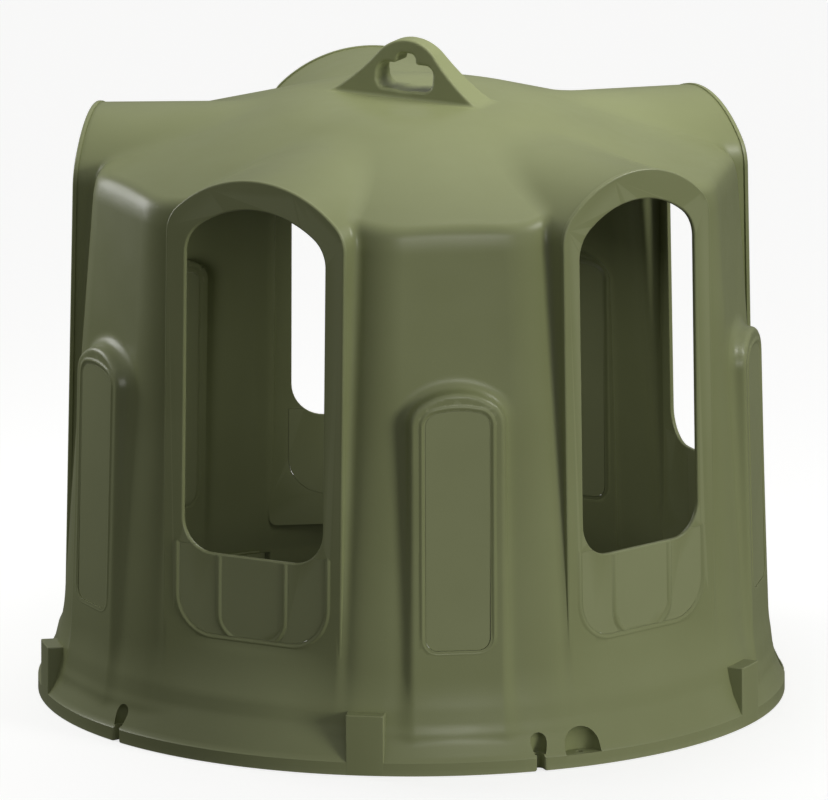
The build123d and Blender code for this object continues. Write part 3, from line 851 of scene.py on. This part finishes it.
def eye_field(x, y, z):
    """Eye with its hole and its blend into the roof; its underside lies inside the shell's wall."""
    roof = shell_field(x, y, z)
    fin = fin_field(x, y, z)
    hole = rounded_box(x, z, EYE_HOLE_HALF_W, EYE_HOLE_LOW_Z, EYE_LOBE_Z, EYE_LOBE_R)
    lobe = rounded_box(x, z, EYE_MIDDLE_LOBE_HALF_W, EYE_HOLE_LOW_Z, EYE_MIDDLE_LOBE_Z, EYE_MIDDLE_LOBE_R)
    hole = soft_min(hole, lobe, EYE_CUSP_BLEND)
    solid = round_max(soft_min(fin, roof, EYE_ROOF_BLEND), -hole, EYE_HOLE_EDGE_R)
    solid = np.maximum(solid + EYE_SINK, -(roof + EYE_COVER))
    return np.maximum(solid, np.maximum(fin - EYE_ROOF_BLEND, np.abs(x) - EYE_HALF_L))


def field_mesh(name, field, low, high, cell):
    """Closed mesh of a field's surface: one point in each grid cell that it crosses, moved onto it."""
    axes = [np.arange(a, b + cell, cell) for a, b in zip(low, high)]
    grid = np.stack(np.meshgrid(*axes, indexing="ij"), -1)
    value = field(grid[..., 0], grid[..., 1], grid[..., 2])
    size = np.array(value.shape) - 1
    total = np.zeros((*size, 3))
    count = np.zeros(size)
    faces = []
    inside = value < 0
    for axis in range(3):
        span = [slice(None)] * 3
        near, far = list(span), list(span)
        near[axis], far[axis] = slice(0, -1), slice(1, None)
        near, far = tuple(near), tuple(far)
        crosses = inside[near] != inside[far]
        where = np.argwhere(crosses)
        a, b = value[near][crosses], value[far][crosses]
        points = grid[near][crosses] + (a / (a - b))[:, None] * (grid[far][crosses] - grid[near][crosses])
        first, second = [n for n in range(3) if n != axis]
        corners = []
        for u, v in ((0, 0), (1, 0), (1, 1), (0, 1)):
            cells = where.copy()
            cells[:, first] -= u
            cells[:, second] -= v
            corners.append(cells)
            np.add.at(total, tuple(cells.T), points)
            np.add.at(count, tuple(cells.T), 1)
        quads = np.stack(corners, 1)
        flip = (a < 0) if axis != 1 else (a > 0)
        quads[~flip] = quads[~flip][:, ::-1]
        faces.append(quads)
    used = count > 0
    index = np.full(size, -1)
    index[used] = np.arange(used.sum())
    points = total[used] / count[used][:, None]
    quads = np.concatenate(faces)
    quads = index[quads[..., 0], quads[..., 1], quads[..., 2]]
    step = cell / 16
    for _ in range(FIT_ROUNDS):
        at = field(*points.T)
        slope = np.stack([
            (field(*(points + step * along).T) - field(*(points - step * along).T)) / (2 * step)
            for along in np.eye(3)
        ], -1)
        move = -(at / np.clip((slope**2).sum(-1), FIT_LEAST_SLOPE**2, None))[:, None] * slope
        points = points + np.clip(move, -cell / 3, cell / 3)
    mesh = bpy.data.meshes.new(name)
    mesh.from_pydata(points.tolist(), [], quads.tolist())
    return mesh


eye = add_object("eye", field_mesh("eye", eye_field, EYE_GRID_LOW, EYE_GRID_HIGH, EYE_CELL))
smooth(eye, angle=50)
place("lifting_eye_fin", eye, "feeder", "lifting_eye", "lifting_eye")


# ---------------------------------------------------------------------------------------------
# Floor, light and camera
# ---------------------------------------------------------------------------------------------
CAMERA_AZIMUTH, CAMERA_ELEVATION = math.radians(28.45), math.radians(13.5)
FRAME_WIDTH = 2.103
LENS, SENSOR = 1500.0, 36.0
CLIP_END = 1000
AIM_RIGHT, AIM_Z = 0.0065, 0.747

WHITE = (1.0, 1.0, 1.0, 1.0)
FLOOR_HALF, FLOOR_DROP = 12.0, 0.0015
FLOOR_COLOUR, FLOOR_GLOW = (0.45, 0.45, 0.44, 1.0), 0.72

# The dome grows from its least to its most strength between two heights on the unit sphere
DOME_LOW, DOME_HIGH = -0.3, 0.9
DOME_LEAST, DOME_MOST = 0.05, 0.46


def direction(azimuth, elevation):
    """Unit vector towards an azimuth, counted from -Y towards +X, and an elevation."""
    level = math.cos(elevation)
    return Vector((level * math.sin(azimuth), -level * math.cos(azimuth), math.sin(elevation)))


def add_lamp(name, data, azimuth, elevation, strength, distance=0.0, aim_z=0.0):
    """Lamp from an azimuth and elevation in degrees, aimed at a height on the axis."""
    data.energy = strength
    lamp = bpy.data.objects.new(name, data)
    way = direction(math.radians(azimuth), math.radians(elevation))
    lamp.location = way * distance + Vector((0, 0, aim_z))
    lamp.rotation_euler = way.to_track_quat("Z", "Y").to_euler()
    bpy.context.scene.collection.objects.link(lamp)
    return lamp


def add_sun(name, azimuth, elevation, strength, spread_degrees):
    """Distant lamp with a soft edge."""
    data = bpy.data.lights.new(name, "SUN")
    data.angle = math.radians(spread_degrees)
    return add_lamp(name, data, azimuth, elevation, strength)


def add_softbox(name, azimuth, elevation, power, size, distance, aim_z):
    """Square softbox near the feeder, so that its light falls off down the wall."""
    data = bpy.data.lights.new(name, "AREA")
    data.size = size
    return add_lamp(name, data, azimuth, elevation, power, distance, aim_z)


def add_floor():
    """Pale floor that shows to the camera but throws no light back on the feeder."""
    mesh = bpy.data.meshes.new("floor")
    corners = [(x * FLOOR_HALF, y * FLOOR_HALF, 0) for x, y in ((-1, -1), (1, -1), (1, 1), (-1, 1))]
    mesh.from_pydata(corners, [], [(0, 1, 2, 3)])
    floor = add_object("floor", mesh)
    floor.location.z = -FLOOR_DROP
    floor.visible_diffuse = False
    floor.visible_glossy = False
    material = bpy.data.materials.new("pale_floor")
    material.use_nodes = True
    shader = material.node_tree.nodes["Principled BSDF"]
    shader.inputs["Base Color"].default_value = FLOOR_COLOUR
    shader.inputs["Roughness"].default_value = 0.9
    shader.inputs["Emission Color"].default_value = WHITE
    shader.inputs["Emission Strength"].default_value = FLOOR_GLOW
    mesh.materials.append(material)


def add_world():
    """White backdrop, and a soft dome that is brighter above than below."""
    world = bpy.data.worlds.new("studio")
    bpy.context.scene.world = world
    world.use_nodes = True
    tree = world.node_tree
    dome = tree.nodes["Background"]
    at = tree.nodes.new("ShaderNodeTexCoord")
    split = tree.nodes.new("ShaderNodeSeparateXYZ")
    tree.links.new(at.outputs["Generated"], split.inputs["Vector"])
    strength = spread(tree, split.outputs["Z"], DOME_LOW, DOME_HIGH, DOME_LEAST, DOME_MOST)
    tree.links.new(strength, dome.inputs["Strength"])
    backdrop = tree.nodes.new("ShaderNodeBackground")
    backdrop.inputs["Strength"].default_value = 1.0
    rays = tree.nodes.new("ShaderNodeLightPath")
    mix = tree.nodes.new("ShaderNodeMixShader")
    tree.links.new(rays.outputs["Is Camera Ray"], mix.inputs[0])
    tree.links.new(dome.outputs["Background"], mix.inputs[1])
    tree.links.new(backdrop.outputs["Background"], mix.inputs[2])
    tree.links.new(mix.outputs["Shader"], tree.nodes["World Output"].inputs["Surface"])
    dome.inputs["Color"].default_value = WHITE
    backdrop.inputs["Color"].default_value = WHITE


add_floor()
add_world()

# The overhead key and the right fill light the moulding without a gloss of their own. The two sheens
# only show in the gloss, and draw the bright band along each column's shoulder
key = add_softbox("key", azimuth=140, elevation=73, power=25.0, size=1.0, distance=1.7, aim_z=1.4)
key.visible_glossy = False
right_fill = add_sun("right_fill", azimuth=85, elevation=10, strength=1.6, spread_degrees=18)
right_fill.visible_glossy = False
add_softbox("left_fill", azimuth=-82, elevation=18, power=22.0, size=1.2, distance=2.8, aim_z=1.0)
add_softbox("inside_fill", azimuth=150, elevation=80, power=2.6, size=0.5, distance=0.45, aim_z=0.7)
low_sheen = add_sun("low_sheen", azimuth=46, elevation=20, strength=0.50, spread_degrees=16)
low_sheen.visible_diffuse = False
side_sheen = add_softbox("side_sheen", azimuth=100, elevation=28, power=9, size=0.4, distance=1.8, aim_z=1.3)
side_sheen.visible_diffuse = False
bpy.context.scene.view_settings.view_transform = "Standard"

camera_data = bpy.data.cameras.new("camera")
camera_data.lens = LENS
camera_data.sensor_width = SENSOR
camera_data.clip_end = CLIP_END
camera = bpy.data.objects.new("camera", camera_data)
right = Vector((math.cos(CAMERA_AZIMUTH), math.sin(CAMERA_AZIMUTH), 0))
towards = direction(CAMERA_AZIMUTH, CAMERA_ELEVATION)
camera.location = right * AIM_RIGHT + Vector((0, 0, AIM_Z)) + towards * (FRAME_WIDTH * LENS / SENSOR)
camera.rotation_euler = towards.to_track_quat("Z", "Y").to_euler()
bpy.context.scene.collection.objects.link(camera)
bpy.context.scene.camera = camera
